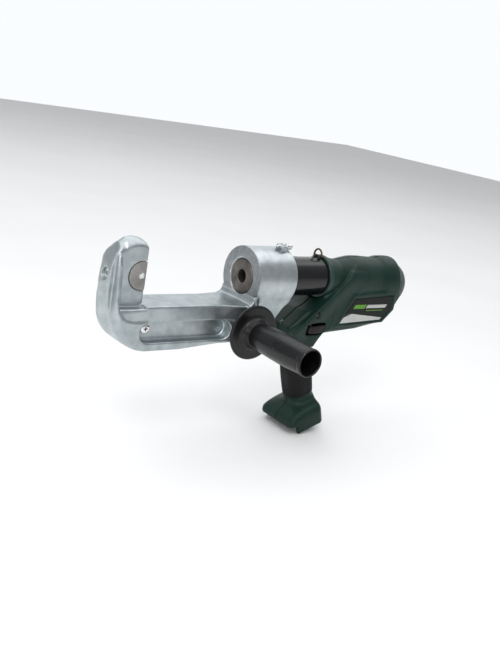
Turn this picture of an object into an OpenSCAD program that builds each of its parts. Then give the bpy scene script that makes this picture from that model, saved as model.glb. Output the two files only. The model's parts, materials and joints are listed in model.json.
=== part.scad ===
// Battery-hydraulic C-frame crimping tool, without its battery.
// X runs along the ram: the jaw is at -X, the motor at +X. Z is up and the side handle points to -Y.
// The origin is the centre of the ram's front face, at the mouth of its die bore.

/* [Head and ram] */
// Outer radius of the cylinder head
head_r = 40; // [38:0.5:42]
// Length of the cylinder head along the ram
head_len = 64.5; // [62:0.5:68]
// Radius of the ram
ram_r = 23; // [22:0.1:23.5]
// Radius of the die bore in the ram's face
die_bore_r = 8.6; // [6:0.1:9]
// Depth of the die bore
die_bore_len = 24; // [18:1:30]
// Travel of the ram
stroke = 42; // [30:1:42]

/* [C-frame] */
// Distance from the ram's face to the anvil's flat
throat = 153.5; // [150:0.5:156]
// Height of the arm's upper face, below the ram's axis
arm_top = -31; // [-32:0.5:-30]
// Half of the frame's width
frame_hw = 28; // [27:0.5:29]
// Half of the jaw web's width
web_hw = 12.5; // [11:0.5:14]
// Depth of the pockets in the arm's sides
pocket_depth = 12; // [6:1:14]
// Radius of the half-round anvil
anvil_r = 17.5; // [16:0.5:18]

/* [Side handle] */
// Centre of the handle's axis along the ram
handle_x = -4; // [-6:1:0]
// Height of the handle's axis
handle_z = -62; // [-64:1:-60]
// Radius of the hand guard disc
guard_r = 36.5; // [32:0.5:38]
// Length of the handle from guard to end
handle_len = 118; // [105:1:125]
// Largest radius of the handle's tube
tube_r = 19; // [18:0.5:20]

/* [Body] */
// Outer radius of the barrel between head and housing
barrel_r = 27; // [26:0.1:27.5]
// Radius of the motor housing
motor_r = 32.5; // [32:0.1:33]
// Rear end of the motor housing
motor_end = 313; // [310:1:316]
// Half of the housing's width
body_hw = 33; // [32:0.5:34]
// Wall of the housing
wall = 3; // [2.5:0.1:3.2]

/* [Grip and battery foot] */
// Lean of the grip from upright, in degrees
rake = 18.4; // [17:0.1:19]
// Depth of the grip's section, front to back
grip_d = 41; // [39:0.5:43]
// Width of the grip's section
grip_w = 36; // [34:0.5:38]
// Half of the battery foot's width
foot_hw = 37; // [35:0.5:38]
// Front of the foot, from the grip's axis
foot_front = -45; // [-46:0.5:-43]
// Rear of the foot, from the grip's axis
foot_rear = 18; // [17:0.5:20]

/* [Controls] */
// Travel of the trigger
trigger_travel = 6; // [4:0.5:7]

/* [Hidden] */
$fn = 72;

fit_gap = 0.05;                 // radial gap of a running fit
gap = 0.35;                     // gap between pieces that only lie near each other
steel = [0.62, 0.66, 0.68];
dark_steel = [0.32, 0.30, 0.29];
green = [0.07, 0.15, 0.12];
black = [0.06, 0.06, 0.07];

// Frame
jaw_back = -196;                // back of the frame's flanges
jaw_shoulder = -190;            // front of the jaw's back flange
jaw_corner = [-151, -42];       // centre of the lower outer corner
corner_r = 45;
seat_gap = 0.2;                 // round the anvil in its seat
anvil_z = 3.5;                  // height of the anvil's centre
jaw_hw = 23;                    // half width of the jaw's back flange
screw_at = [-149.5, -60];       // screw in the pocket's front end
pocket_z = [-76.5, -50.5];
pocket_x = [-160, -27];

// Barrel inside the head
gland_x = 13;                   // rear of the head's front wall
shoulder_r = 31;                // barrel's retained shoulder
shoulder_x = [gland_x + 1.4, 54];
ring_x = shoulder_x[1] + 0.3;
ring_r = 36.5;
bore_r = 24;                    // piston bore
piston_x = [88, 100];
seal_x = [93, 96.4];
ram_in_r = 15;
rod_x = piston_x[0] - stroke - 10; // front of the spring rod's head
step_x = 141;                   // where the barrel steps down into the housing
spigot_r = 21.5;
barrel_end = 150;

collar_x = 133.7;               // front of the collar round the barrel
collar_r = 30.4;
cove_hw = 36.5;                 // half width of the cove between arm and head
plunger_z = 44.4;               // distance of the lock plunger from the ram's axis
plunger_turn = 13;              // its place round the head, from the top
seat_x = [47, 57];

// Housing
motor_z = -2;
tail_r = 28;                    // radius where the rear dome begins
tail_x = motor_end - 34;
tail_hw = 29.5;                 // half width of the rear compartment
neck_hw = 24;                   // half width of the neck
near_screws = [[121, -48]];
far_screws = [[121, -48], [150, -62]];
label_outline = [[189, -27], [268, -23], [264, -43], [248, -58], [168, -61.5]];

// Hanging ring
ring_at = [129, 28.4];
ring_hw = 8;
ring_leg = 3;
ring_splay = 12;
wire_r = 1.3;

// Controls
trigger_z = [84, 112];          // along the grip's axis
trigger_hw = 7.5;
lever_at = [118, -70];
light_r = 4.2;
sleeve_z = [26, 80];
sleeve_t = 1.2;
saddle_h = 14.5;

// Grip axis: a point on it at the foot, and its direction
foot_at = [150, -200];

function arc(c, r, a0, a1, n = 12) =
    [for (i = [0:n]) let (a = a0 + (a1 - a0) * i / n) [c[0] + r * cos(a), c[1] + r * sin(a)]];

// ---- helpers ----

module x_cyl(x0, x1, r, y = 0, z = 0) {
    translate([x0, y, z]) rotate([0, 90, 0]) cylinder(r = r, h = x1 - x0);
}

module y_cyl(y0, y1, r, x = 0, z = 0) {
    translate([x, y1, z]) rotate([90, 0, 0]) cylinder(r = r, h = y1 - y0);
}

module side_plate(points, y0, y1) {
    translate([0, y1, 0]) rotate([90, 0, 0]) linear_extrude(height = y1 - y0) polygon(points);
}

module x_box(x, y, z) {
    translate([x[0], y[0], z[0]]) cube([x[1] - x[0], y[1] - y[0], z[1] - z[0]]);
}

// Turns [r, x] profile points about the X axis
module x_lathe(points, z = 0) {
    translate([0, 0, z]) rotate([0, 90, 0]) rotate_extrude() polygon(points);
}

module both_sides() {
    children();
    mirror([0, 1, 0]) children();
}

// Places children in the grip's own frame: x to the rear, z up along the grip, origin at the foot
module on_grip() {
    translate([foot_at[0], 0, foot_at[1]]) rotate([0, -rake, 0]) children();
}

function rounded(x0, x1, y0, y1, r, n = 6) = concat(
    arc([x1 - r, y1 - r], r, 0, 90, n), arc([x0 + r, y1 - r], r, 90, 180, n),
    arc([x0 + r, y0 + r], r, 180, 270, n), arc([x1 - r, y0 + r], r, 270, 360, n));

// ---- head ----

// Side profile of the frame's underside, from the jaw's back round the arm to the head
frame_bottom = concat(arc(jaw_corner, corner_r, 228, 270, 8), [[-100, -87], [-20, -80], [18, -74],
    [44, -57], [63, -30], [63, -18], [4, -18], [4, arm_top]]);

// Curved back of the jaw, from its top down to the lower corner
jaw_curve = [[-160, 47.2], [-166, 48.8], [-173, 49.6], [-182, 47.8], [-190, 41.6], [-196, 31], [-200, 18.4],
    [-202.2, 6], [-203, -6], [-202.4, -20], [-200, -35], [-196, -50], [-190.5, -62], [-183, -73]];

// Jaw's web and rib with the arm's core
web_outline = concat([[-throat, arm_top], [-throat, 42.5]], jaw_curve, frame_bottom);

// Sides of the arm and the jaw's lower corner
arm_outline = concat([[-155, arm_top], [-155, arm_top - 3], [jaw_shoulder, arm_top - 3], [jaw_shoulder, -24],
    [jaw_back, -24]], arc(jaw_corner, corner_r, 180, 225, 8), frame_bottom);

// Flange up the jaw's back
flange_outline = [[jaw_shoulder, arm_top - 4], [jaw_shoulder, 29], [-194, 29], [jaw_back, 20],
    [jaw_back, arm_top]];

module frame_pocket() {
    r = (pocket_z[1] - pocket_z[0]) / 2;
    zc = (pocket_z[0] + pocket_z[1]) / 2;
    ends = concat(arc([pocket_x[1] - r, zc], r, -90, 90, 12), arc([pocket_x[0] + r, zc], r, 90, 270, 12));
    side_plate(ends, -frame_hw - 1, -frame_hw + pocket_depth);
}

module c_frame() color(steel) difference() {
    union() {
        side_plate(web_outline, -web_hw, web_hw);
        side_plate(arm_outline, -frame_hw, frame_hw);
        side_plate(flange_outline, -jaw_hw, jaw_hw);
        // arm broadens to carry the cylinder
        side_plate([[-13, -75], [-13, arm_top], [58, -30], [42, -55], [18, -71]], -34, 34);
        x_lathe([[0, 0], [head_r - 2, 0], [head_r, 2], [head_r, head_len - 2], [head_r - 2, head_len],
            [0, head_len]]);
        // seat of the lock plunger
        rotate([plunger_turn, 0, 0]) x_box(seat_x, [-6.5, 6.5], [30, plunger_z + 2.6]);
        both_sides() y_cyl(-44.6, -20, 17, handle_x, handle_z);
        // cove between arm and head
        side_plate(concat([[2.5, arm_top - 2.5], [2.5, arm_top + 11], [0, arm_top + 11]],
            arc([-11, arm_top + 11], 11, 0, -90, 8), [[-11, arm_top - 2.5]]), -cove_hw, cove_hw);
    }
    both_sides() frame_pocket();
    // slopes at the sides of the jaw's top
    both_sides() translate([-193, 0, 0]) rotate([90, 0, 90]) linear_extrude(height = 45)
        polygon([[3, 50.2], [13, 41], [13, 53], [3, 53]]);
    // ram bore with a chamfered mouth, cylinder space and ring seat
    x_lathe([[0, -1], [ram_r + 3, -1], [ram_r + fit_gap, 2], [ram_r + fit_gap, gland_x],
        [shoulder_r + fit_gap, gland_x], [shoulder_r + fit_gap, ring_x - 0.1], [ring_r, ring_x - 0.1],
        [ring_r, head_len + 1], [0, head_len + 1]]);
    // anvil seat and its bolt's holes
    y_cyl(-web_hw - 1, web_hw + 1, anvil_r + seat_gap, -throat - 5, anvil_z);
    x_lathe([[0, -215], [7.2, -215], [7.2, -192], [4.2, -192], [4.2, -throat - 8], [0, -throat - 8]],
        anvil_z);
    // side holes
    both_sides() y_cyl(-46, -24, 6, handle_x, handle_z);
    both_sides() y_cyl(-frame_hw, -8, 3, screw_at[0], screw_at[1]);
    both_sides() y_cyl(-41, -35.9, 2.6, 59, -2);
    rotate([plunger_turn, 0, 0]) x_cyl(seat_x[0] - 1, seat_x[1] + 1, 2.2, 0, plunger_z);
    both_sides() y_cyl(-frame_hw - 1, -frame_hw + pocket_depth, 7, screw_at[0], screw_at[1]);
}

module head_ring() color(steel) difference() {
    x_cyl(ring_x, head_len - 0.6, ring_r - 0.02);
    x_cyl(ring_x - 1, head_len, barrel_r + gap);
    both_sides() y_cyl(-41, -35.4, 2.6, 59, -2);
}

module anvil() color(dark_steel) translate([0, 0, anvil_z]) difference() {
    intersection() {
        y_cyl(-web_hw, web_hw, anvil_r, -throat - 5);
        x_box([-190, -throat], [-web_hw, web_hw], [-30, 30]);
    }
    x_cyl(-180, -throat - 6, 4.05);
    y_cyl(-web_hw - 1, -web_hw + 9, 4.05, -throat - 5.5);
}

module anvil_bolt() color(dark_steel) translate([0, 0, anvil_z]) difference() {
    union() {
        x_cyl(-198.5, -192, 6.9);
        x_cyl(-192, -throat - 14, 4);
    }
    translate([-199, 0, 0]) rotate([0, 90, 0]) cylinder(r = 3.4, h = 4, $fn = 6);
}

module anvil_screw() color(steel) translate([0, 0, anvil_z]) difference() {
    union() {
        y_cyl(-web_hw + 1, -web_hw + 8.5, 4, -throat - 5.5);
        y_cyl(-web_hw - 0.5, -web_hw + 1, 3.2, -throat - 5.5);
    }
    translate([-throat - 5.5, -web_hw + 2, 0]) rotate([90, 0, 0]) cylinder(r = 1.9, h = 4, $fn = 6);
}

module pocket_screws() color(steel) both_sides() difference() {
    translate([screw_at[0], 0, screw_at[1]]) rotate([90, 0, 0]) rotate_extrude() polygon(concat(
        [[0, 8.5], [2.95, 8.5], [2.95, 16.1], [6.6, 16.1]], arc([0, 14.8], 6.9, 11, 84, 8), [[0, 21.7]]));
    translate([screw_at[0], -frame_hw + 6, screw_at[1]]) rotate([90, 0, 0]) {
        translate([-0.7, -3, -5.5]) cube([1.4, 6, 9]);
        translate([-3, -0.7, -5.5]) cube([6, 1.4, 9]);
    }
}

// Pin through its seat, with a ribbed knob behind
module lock_plunger() color(dark_steel) rotate([plunger_turn, 0, 0]) {
    x_cyl(seat_x[0] - 4, seat_x[1] + 1, 2.1, 0, plunger_z);
    x_cyl(seat_x[1] + 0.3, seat_x[1] + 10.5, 3.4, 0, plunger_z);
    for (i = [0:3]) x_cyl(seat_x[1] + 0.8 + 2.4 * i, seat_x[1] + 2.3 + 2.4 * i, 4, 0, plunger_z);
}

module set_screws() color(dark_steel) both_sides() y_cyl(-39.2, -35.6, 2.5, 59, -2);

// ---- ram ----

// Hollow behind its solid nose, for the return spring
module ram() color(dark_steel) x_lathe([[die_bore_r, 0], [ram_r - 1, 0], [ram_r, 1], [ram_r, piston_x[0]],
    [ram_in_r, piston_x[0]], [ram_in_r, rod_x - 4], [0, rod_x - 4], [0, die_bore_len],
    [die_bore_r, die_bore_len]]);

module piston() color(dark_steel) x_lathe([[6, piston_x[0]], [bore_r - fit_gap, piston_x[0]],
    [bore_r - fit_gap, seal_x[0]], [bore_r - 3, seal_x[0]], [bore_r - 3, seal_x[1]],
    [bore_r - fit_gap, seal_x[1]], [bore_r - fit_gap, piston_x[1]], [6, piston_x[1]]]);

module piston_seal() color(black) x_lathe([
    [bore_r - 2.98, seal_x[0] + 0.05], [bore_r - 0.1, seal_x[0] + 0.05],
    [bore_r - 0.1, seal_x[1] - 0.05], [bore_r - 2.98, seal_x[1] - 0.05]]);

// Rod from the barrel's rear wall, with the head that the return spring pushes against
module spring_rod() color(steel) {
    x_cyl(rod_x, rod_x + 3, 13);
    x_cyl(rod_x + 3, barrel_end - 12, 5);
}

// Return spring between the rod's head and the piston
module ram_spring() color(steel) x_lathe([[7.5, rod_x + 3.2], [12.5, rod_x + 3.2], [12.5, piston_x[0] - 0.2],
    [7.5, piston_x[0] - 0.2]]);

// ---- side handle ----

module handle_stud() color(steel) {
    y_cyl(-66, -24.5, 5.95, handle_x, handle_z);
}

module handle_guard() color(black) translate([handle_x, 0, handle_z]) rotate([90, 0, 0]) difference() {
    rotate_extrude() polygon(concat(
        [[0, 45], [15, 45], [guard_r - 2.5, 46.5]], arc([guard_r - 2.3, 48.8], 2.3, -90, 90, 8),
        [[24, 51], [20.5, 53], [18.4, 57], [17.6, 61.5], [0, 61.5]]));
    translate([0, 0, 40]) cylinder(r = 6, h = 26);
}

module handle_tube() color(black) translate([handle_x, 0, handle_z]) rotate([90, 0, 0]) difference() {
    end = 45 + handle_len;
    rotate_extrude() polygon([[0, 61.6], [16.8, 61.6], [17.8, 76], [tube_r - 0.2, 95], [tube_r, 112],
        [tube_r - 0.6, 134], [17.9, end - 9], [17.4, end - 6], [18.2, end - 4], [18.2, end - 1], [17.4, end],
        [0, end]]);
    translate([0, 0, 40]) cylinder(r = 6, h = 30);
    translate([0, 0, 78]) cylinder(r = 13.5, h = 70);
    translate([0, 0, end - 26]) cylinder(r1 = 13.5, r2 = 16.2, h = 26.1);
}

// ---- barrel ----

module barrel() color(black) difference() {
    union() {
        x_cyl(shoulder_x[0], shoulder_x[1], shoulder_r);
        x_cyl(shoulder_x[1], step_x, barrel_r);
        x_cyl(step_x - 1, barrel_end, spigot_r);
    }
    x_cyl(gland_x, 41, ram_r + fit_gap);
    x_cyl(40, barrel_end - 12, bore_r);
    x_cyl(barrel_end - 13, barrel_end + 1, 5);
}

module barrel_collar() color(green) x_lathe([[barrel_r + fit_gap, collar_x], [29.3, collar_x],
    [collar_r, collar_x + 1.2], [collar_r, collar_x + 6], [30, collar_x + 7.2],
    [barrel_r + fit_gap, collar_x + 7.2]]);

module ring_lugs() color(dark_steel) both_sides() difference() {
    union() {
        y_cyl(2.6, 5.7, 2.6, ring_at[0], ring_at[1]);
        x_box([ring_at[0] - 2.6, ring_at[0] + 2.6], [2.6, 5.7], [26, ring_at[1]]);
    }
    y_cyl(3.4, 7, wire_r + fit_gap, ring_at[0], ring_at[1]);
    x_cyl(120, 140, barrel_r);
}

module hanging_ring() color(dark_steel) translate([ring_at[0], 0, ring_at[1]]) {
    both_sides() {
        y_cyl(3.6, ring_hw, wire_r);
        translate([0, ring_hw, 0]) sphere(wire_r);
        translate([0, ring_hw, 0]) rotate([ring_splay, 0, 0]) cylinder(r = wire_r, h = ring_leg);
    }
    translate([0, 0, ring_leg * cos(ring_splay)]) rotate([90, 0, 90]) rotate_extrude(angle = 180)
        translate([ring_hw - ring_leg * sin(ring_splay), 0]) circle(wire_r);
}

// ---- housing ----

// Motor housing: neck, swelling, taper to the rear and domed end
module motor_outer() {
    x_lathe(concat([[0, collar_x + 7.4], [29.8, collar_x + 7.4], [26.4, 162], [28.7, 176], [motor_r, 192]],
        [for (p = arc([0, 0], 1, 0, 90, 12)) [tail_r * p[0], tail_x + 34 * p[1]]]), motor_z);
}

module motor_inner() {
    x_lathe([[0, step_x], [spigot_r + fit_gap, step_x], [spigot_r + fit_gap, 170], [23, 178], [25.5, 192],
        [24, 274], [21.8, 288], [13, motor_end - 13], [0, motor_end - 13]]);
}

// Thick diagonal band behind the crease, seen from the side
band_outline = [[176, 10], [169, 2], [153, -12], [135, -28], [107, -52], [82, -72], [84, -86], [96, -94],
    [126, -96], [134, -84], [140, -76], [152, -72], [186, -24], [196, -8], [196, 6]];

// Rear compartment under the motor
tail_outline = [[150, -20], [146, -77], [205, -73], [243, -67], [265, -58], [280, -44], [288, -25], [290, -6],
    [200, -6]];

// Neck between collar and work light, in front of the crease
neck_outline = [[138, -16], [132, -36], [108, -46], [83, -68], [80, -76], [84, -86], [110, -86], [180, -20],
    [180, 0]];

module band_cavity() side_plate([[172, -6], [157, -19], [139, -35], [111, -59], [93, -73], [104, -88],
    [121, -91], [129, -81], [137, -71], [150, -66], [182, -24], [190, -10]],
    -body_hw + wall + 2, body_hw - wall - 2);

module tail_cavity() side_plate([[152, -26], [150, -72.5], [205, -68.5], [242, -62.5], [262, -54],
    [275, -41], [282, -24], [283, -6], [200, -6]], -tail_hw + wall, tail_hw - wall);

module neck_cavity() side_plate([[134, -40], [112, -50], [92, -69], [100, -84], [150, -50], [176, -16],
    [142, -20]], -neck_hw + wall, neck_hw - wall);

module grip_section(inset) {
    d = grip_d / 2 - inset;
    w = grip_w / 2 - inset;
    polygon(rounded(-d, d, -w, w, 15 - inset, 6));
}

module foot_section(inset) {
    w = foot_hw - inset;
    polygon(rounded(foot_front + inset, foot_rear - inset, -w, w, 9 - inset, 5));
}

module housing_outer() {
    motor_outer();
    side_plate(band_outline, -body_hw, body_hw);
    side_plate(tail_outline, -tail_hw, tail_hw);
    side_plate(neck_outline, -neck_hw, neck_hw);
    on_grip() {
        translate([0, 0, -2]) linear_extrude(height = sleeve_z[0] + 2) grip_section(0);
        translate([0, 0, sleeve_z[0]]) linear_extrude(height = sleeve_z[1] - sleeve_z[0])
            grip_section(sleeve_t);
        translate([0, 0, sleeve_z[1]]) linear_extrude(height = 122 - sleeve_z[1]) grip_section(0);
        hull() {
            translate([0, 0, 20]) linear_extrude(height = 1) grip_section(0);
            translate([0, 0, 6]) linear_extrude(height = 2) foot_section(0);
        }
        translate([0, 0, -18]) linear_extrude(height = 25) foot_section(0);
    }
}

module housing_inner() {
    motor_inner();
    x_cyl(60, step_x, barrel_r + gap);
    x_cyl(collar_x - gap, collar_x + 7.4, collar_r + gap);
    band_cavity();
    tail_cavity();
    neck_cavity();
    on_grip() {
        translate([0, 0, 2]) linear_extrude(height = 116) grip_section(sleeve_t + wall);
        // saddle that the battery slides into from the front, and its open mouth
        translate([foot_front - 1, -foot_hw + 5, -19])
            cube([foot_rear - foot_front - 4, 2 * foot_hw - 10, saddle_h]);
        translate([foot_front - 1, -foot_hw - 1, -19]) cube([13.5, 2 * foot_hw + 2, saddle_h]);
        // terminal block's seat
        translate([-14.3, -13.3, -5]) cube([24.6, 26.6, 10.8]);
        // trigger opening, with room for its flange
        translate([-16, -trigger_hw - 3.3, trigger_z[0] + 1.7])
            cube([10, 2 * trigger_hw + 6.6, trigger_z[1] - trigger_z[0] - 3.4]);
        translate([-45, -trigger_hw - 0.6, trigger_z[0] - 0.7])
            cube([35, 2 * trigger_hw + 1.2, trigger_z[1] - trigger_z[0] + 1.4]);
    }
    // windows of the retract lever
    side_plate([[105.5, -62.5], [112, -60.5], [142, -60], [142, -66], [136.5, -77.5], [106, -77.5]],
        -body_hw - 1, body_hw + 1);
    light_at() cylinder(r = light_r + 0.1, h = 12);
}

module housing_half(side) color(green) difference() {
    intersection() {
        housing_outer();
        translate([0, side < 0 ? -60 : 0, -250]) cube([400, 60, 350]);
    }
    housing_inner();
    at_screws() translate([0, 0, -3]) cylinder(r = 3.6, h = 4);
}

module housing_left() housing_half(-1);
module housing_right() housing_half(1);

module label_left() color(black) side_plate(label_outline, -tail_hw - 0.8, -tail_hw);
module label_right() mirror([0, 1, 0]) label_left();

// Children at every housing screw, with z pointing out of the housing's side
module at_screws() {
    for (p = near_screws) translate([p[0], -body_hw, p[1]]) rotate([90, 0, 0]) children();
    for (p = far_screws) translate([p[0], body_hw, p[1]]) rotate([-90, 0, 0]) children();
}

module housing_screws() color(dark_steel) at_screws() difference() {
    translate([0, 0, -2.95]) cylinder(r = 3.4, h = 2);
    translate([0, 0, -2]) cylinder(r = 1.6, h = 2, $fn = 6);
}

// ---- grip and foot ----

module grip_sleeve() color(black) on_grip() translate([0, 0, sleeve_z[0] + 0.05])
    linear_extrude(height = sleeve_z[1] - sleeve_z[0] - 0.1) difference() {
        grip_section(0);
        grip_section(sleeve_t);
    }

module battery_terminals() color(black) on_grip() difference() {
    union() {
        translate([-14, -13, -4.5]) cube([24, 26, 10]);
        for (y = [-9, -3, 3, 9]) translate([-12, y - 0.6, -13]) cube([16, 1.2, 9]);
    }
    translate([-5, -8, 1]) cube([6, 16, 5]);
}

// ---- controls ----

module trigger() color(black) on_grip() rotate([90, 0, 0]) {
    translate([0, 0, -trigger_hw]) linear_extrude(height = 2 * trigger_hw) polygon(concat(
        [[-13, trigger_z[0]], [-31, trigger_z[0]]],
        [for (i = [0:8]) let (t = i / 8)
            [-33 - 2 * t + 3.2 * sin(180 * t), trigger_z[0] + 2 + (trigger_z[1] - trigger_z[0] - 3) * t]],
        [[-33, trigger_z[1]], [-13, trigger_z[1]]]));
    translate([0, 0, -trigger_hw - 3]) linear_extrude(height = 2 * trigger_hw + 6)
        polygon([[-15.6, trigger_z[0] + 2], [-13, trigger_z[0] + 2], [-13, trigger_z[1] - 2],
            [-15.6, trigger_z[1] - 2]]);
}

module trigger_switch() color(black) on_grip() {
    translate([trigger_travel - 12.4, -9, trigger_z[0]]) cube([18, 18, trigger_z[1] - trigger_z[0]]);
}

module control_board() color([0.1, 0.3, 0.2]) on_grip() {
    translate([2, -11, 5.5]) cube([1.6, 22, trigger_z[0] - 5.5]);
    for (z = [20, 44, 62]) translate([3.6, -7, z]) cube([4, 14, 9]);
}

// Paddles on both sides of the housing, joined by the shaft that turns in the release valve
module retract_lever() color(black) {
    both_sides() side_plate([[108.5, -66], [112, -64.5], [136, -63], [138, -65], [133, -73], [130, -74.5],
        [111, -74.5], [108.5, -73]], -body_hw - 0.2, -body_hw + 3.5);
    y_cyl(-body_hw + 3, body_hw - 3, 3, lever_at[0], lever_at[1]);
}

module release_valve() color(steel) difference() {
    x_box([lever_at[0] - 8, lever_at[0] + 9], [-18, 18], [-80, -62]);
    y_cyl(-30, 30, 3 + fit_gap, lever_at[0], lever_at[1]);
}

module work_light() color([0.8, 0.85, 0.9]) light_at() {
    translate([0, 0, 4]) cylinder(r = light_r, h = 5);
    translate([0, 0, 2]) cylinder(r = light_r - 1, h = 3);
}

module light_at() translate([84.6, 0, -66.4]) rotate([0, -55, 0]) translate([0, 0, -9]) children();

// ---- drive ----

module pump_block() color(steel) difference() {
    x_cyl(barrel_end, 173.5, spigot_r - 0.3);
    x_cyl(154, 172, 9.8);
    x_cyl(150, 180, 6 + fit_gap);
}

// Shaft with the eccentric that strokes the pump
module pump_shaft() color(dark_steel) {
    x_cyl(151, 186, 6);
    x_cyl(158, 166, 8, 1.4);
}

module gear_case() color(steel) difference() {
    x_cyl(173.6, 204, 21.4);
    x_cyl(177, 201, 17);
    x_cyl(170, 180, 6 + fit_gap);
    x_cyl(200, 205, 3.5 + fit_gap);
}

module motor_can() color(steel) difference() {
    x_cyl(204.1, 273, 23.4);
    x_cyl(207, 270, 20.5);
    x_cyl(200, 280, 3.5 + fit_gap);
}

module motor_rotor() color(dark_steel) {
    x_cyl(194, 287, 3.5);
    for (i = [0:7]) rotate([i * 45, 0, 0]) x_box([214, 262], [-4, 4], [5, 18.5]);
    x_cyl(212, 264, 10);
    x_cyl(187.5, 194, 9);
}

module motor_fan() color(black) {
    difference() {
        x_cyl(276, 285, 8);
        x_cyl(275, 286, 3.5);
    }
    for (i = [0:8]) rotate([i * 40, 0, 0]) translate([278, 0, 7]) rotate([0, 0, 25])
        translate([-3.5, -0.7, 0]) cube([7, 1.4, 13]);
}

module oil_bladder() color(black) {
    side_plate([[158, -71], [205, -67.5], [230, -63.5], [230, -38], [205, -33], [172, -33]], -22, 22);
}

c_frame();
head_ring();
anvil();
anvil_bolt();
anvil_screw();
pocket_screws();
lock_plunger();
set_screws();
ram();
piston();
piston_seal();
ram_spring();
spring_rod();
handle_stud();
handle_guard();
handle_tube();
barrel();
barrel_collar();
ring_lugs();
hanging_ring();
housing_left();
housing_right();
label_left();
label_right();
housing_screws();
work_light();
grip_sleeve();
battery_terminals();
trigger();
trigger_switch();
control_board();
retract_lever();
pump_block();
pump_shaft();
gear_case();
motor_can();
motor_rotor();
motor_fan();
oil_bladder();
release_valve();
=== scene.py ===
"""Battery-hydraulic C-frame crimping tool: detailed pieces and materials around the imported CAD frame.

Lengths in this script are millimetres until a mesh is made, in the CAD frame: X along the ram, -Y along the
side handle, Z up.
"""
import json
import math

import bpy
import numpy as np
from mathutils import Matrix, Vector


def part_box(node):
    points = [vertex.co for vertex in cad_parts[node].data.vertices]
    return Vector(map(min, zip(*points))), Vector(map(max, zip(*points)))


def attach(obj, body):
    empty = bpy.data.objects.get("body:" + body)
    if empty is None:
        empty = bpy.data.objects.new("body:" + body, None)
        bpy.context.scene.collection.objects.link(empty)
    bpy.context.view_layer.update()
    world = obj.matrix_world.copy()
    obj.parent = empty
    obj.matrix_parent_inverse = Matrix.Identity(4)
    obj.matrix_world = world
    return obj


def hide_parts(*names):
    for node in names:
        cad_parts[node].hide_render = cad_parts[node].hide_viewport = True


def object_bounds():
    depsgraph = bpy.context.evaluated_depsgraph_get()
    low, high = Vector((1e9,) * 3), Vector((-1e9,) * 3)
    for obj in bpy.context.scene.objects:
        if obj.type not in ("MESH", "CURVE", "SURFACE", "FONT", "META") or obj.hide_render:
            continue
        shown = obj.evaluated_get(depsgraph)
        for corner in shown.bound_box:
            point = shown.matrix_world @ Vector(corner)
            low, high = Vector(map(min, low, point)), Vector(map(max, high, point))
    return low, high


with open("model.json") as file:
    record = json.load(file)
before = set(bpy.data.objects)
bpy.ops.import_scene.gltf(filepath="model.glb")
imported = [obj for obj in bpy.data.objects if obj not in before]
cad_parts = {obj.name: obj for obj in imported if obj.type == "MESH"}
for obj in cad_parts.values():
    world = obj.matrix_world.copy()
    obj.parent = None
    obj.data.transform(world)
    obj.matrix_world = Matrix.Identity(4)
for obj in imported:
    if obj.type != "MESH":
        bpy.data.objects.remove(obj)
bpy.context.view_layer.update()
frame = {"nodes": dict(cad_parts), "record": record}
nodes = frame["nodes"]
slot_of_node = {s["node"]: s["material_slot"] for s in frame["record"]["subparts"]}
MM = 0.001


def span(node, axis):
    """Low and high end of a CAD node along an axis, in mm."""
    low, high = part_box(node)
    return low[axis] / MM, high[axis] / MM


# ---------------------------------------------------------------- materials

def new_material(name, color, metallic=0.0, rough=0.5, **sockets):
    m = bpy.data.materials.new(name)
    m.use_nodes = True
    t = m.node_tree
    bsdf = t.nodes["Principled BSDF"]
    bsdf.inputs["Base Color"].default_value = (*color, 1)
    bsdf.inputs["Metallic"].default_value = metallic
    bsdf.inputs["Roughness"].default_value = rough
    for key, value in sockets.items():
        bsdf.inputs[key.replace("_", " ")].default_value = value
    coord = t.nodes.new("ShaderNodeTexCoord")
    return m, t, bsdf, coord.outputs["Object"]


def noise(t, vector, scale, detail=4.0, rough=0.55, stretch=None):
    if stretch:
        mapping = t.nodes.new("ShaderNodeMapping")
        mapping.inputs["Scale"].default_value = stretch
        t.links.new(vector, mapping.inputs["Vector"])
        vector = mapping.outputs["Vector"]
    n = t.nodes.new("ShaderNodeTexNoise")
    n.inputs["Scale"].default_value = scale
    n.inputs["Detail"].default_value = detail
    n.inputs["Roughness"].default_value = rough
    t.links.new(vector, n.inputs["Vector"])
    return n.outputs["Fac"]


def cells(t, vector, scale):
    n = t.nodes.new("ShaderNodeTexVoronoi")
    n.inputs["Scale"].default_value = scale
    t.links.new(vector, n.inputs["Vector"])
    return n.outputs["Distance"]


def ranged(t, value, low, high, from_low=0.3, from_high=0.7):
    n = t.nodes.new("ShaderNodeMapRange")
    n.inputs["From Min"].default_value = from_low
    n.inputs["From Max"].default_value = from_high
    n.inputs["To Min"].default_value = low
    n.inputs["To Max"].default_value = high
    t.links.new(value, n.inputs["Value"])
    return n.outputs["Result"]


def two_colors(t, value, a, b, from_low=0.35, from_high=0.65):
    n = t.nodes.new("ShaderNodeValToRGB")
    n.color_ramp.elements[0].position = from_low
    n.color_ramp.elements[0].color = (*a, 1)
    n.color_ramp.elements[1].position = from_high
    n.color_ramp.elements[1].color = (*b, 1)
    t.links.new(value, n.inputs["Fac"])
    return n.outputs["Color"]


def mixed(t, value, a, b):
    """Colour sockets a and b mixed by value."""
    n = t.nodes.new("ShaderNodeMix")
    n.data_type = "RGBA"
    t.links.new(value, n.inputs[0])
    t.links.new(a, n.inputs[6])
    t.links.new(b, n.inputs[7])
    return n.outputs[2]


def maths(t, operation, a, b=None):
    n = t.nodes.new("ShaderNodeMath")
    n.operation = operation
    for socket, value in zip(n.inputs, (a, b)):
        if value is None:
            continue
        if isinstance(value, (int, float)):
            socket.default_value = value
        else:
            t.links.new(value, socket)
    return n.outputs[0]


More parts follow.
